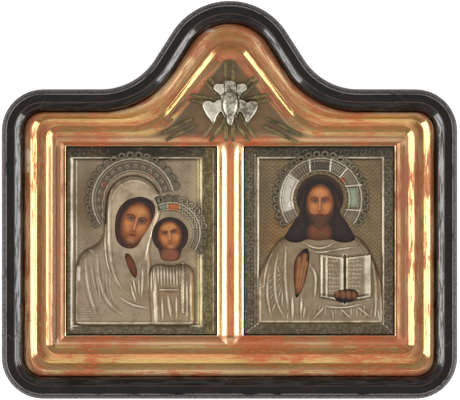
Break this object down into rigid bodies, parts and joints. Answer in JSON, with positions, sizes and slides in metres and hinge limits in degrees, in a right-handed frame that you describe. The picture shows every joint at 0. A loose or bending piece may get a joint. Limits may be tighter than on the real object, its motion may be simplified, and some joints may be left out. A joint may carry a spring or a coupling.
{
  "type": "icon panel",
  "caption": "Double icon in a black ogee-arched wooden case with a gilt moulded mount, embossed metal covers with halos, and an applied silvered dove.",
  "frame": {"origin": "centre of the bounding box, on the flat back", "axes": "+Z out of the front, +Y towards the arched top, +X to the viewer's right"},
  "size_m": [0.2682, 0.2342, 0.04],
  "materials": {
    "black_wood": "polished black stain",
    "back_wood": "bare, aged",
    "gilding": "burnished gilding on red clay ground, worn",
    "painted_wood": "oil paint under varnish",
    "cover_metal": "embossed, silvered and gilt, tarnished",
    "halo_metal": "engraved, with worn enamel",
    "silvered_metal": "silvered, lightly tarnished"
  },
  "bodies": {
    "root": {"case_frame": "black_wood", "back_board": "back_wood", "gilt_mount": "gilding", "dove": "silvered_metal", "mother_and_child_board": "painted_wood", "mother_and_child_cover": "cover_metal", "mother_halo": "halo_metal", "child_halo": "halo_metal", "blessing_figure_board": "painted_wood", "blessing_figure_cover": "cover_metal", "blessing_figure_halo": "halo_metal", "halo_pin_1": "silvered_metal", "halo_pin_2": "silvered_metal", "halo_pin_3": "silvered_metal", "halo_pin_4": "silvered_metal"}
  },
  "joints": []
}
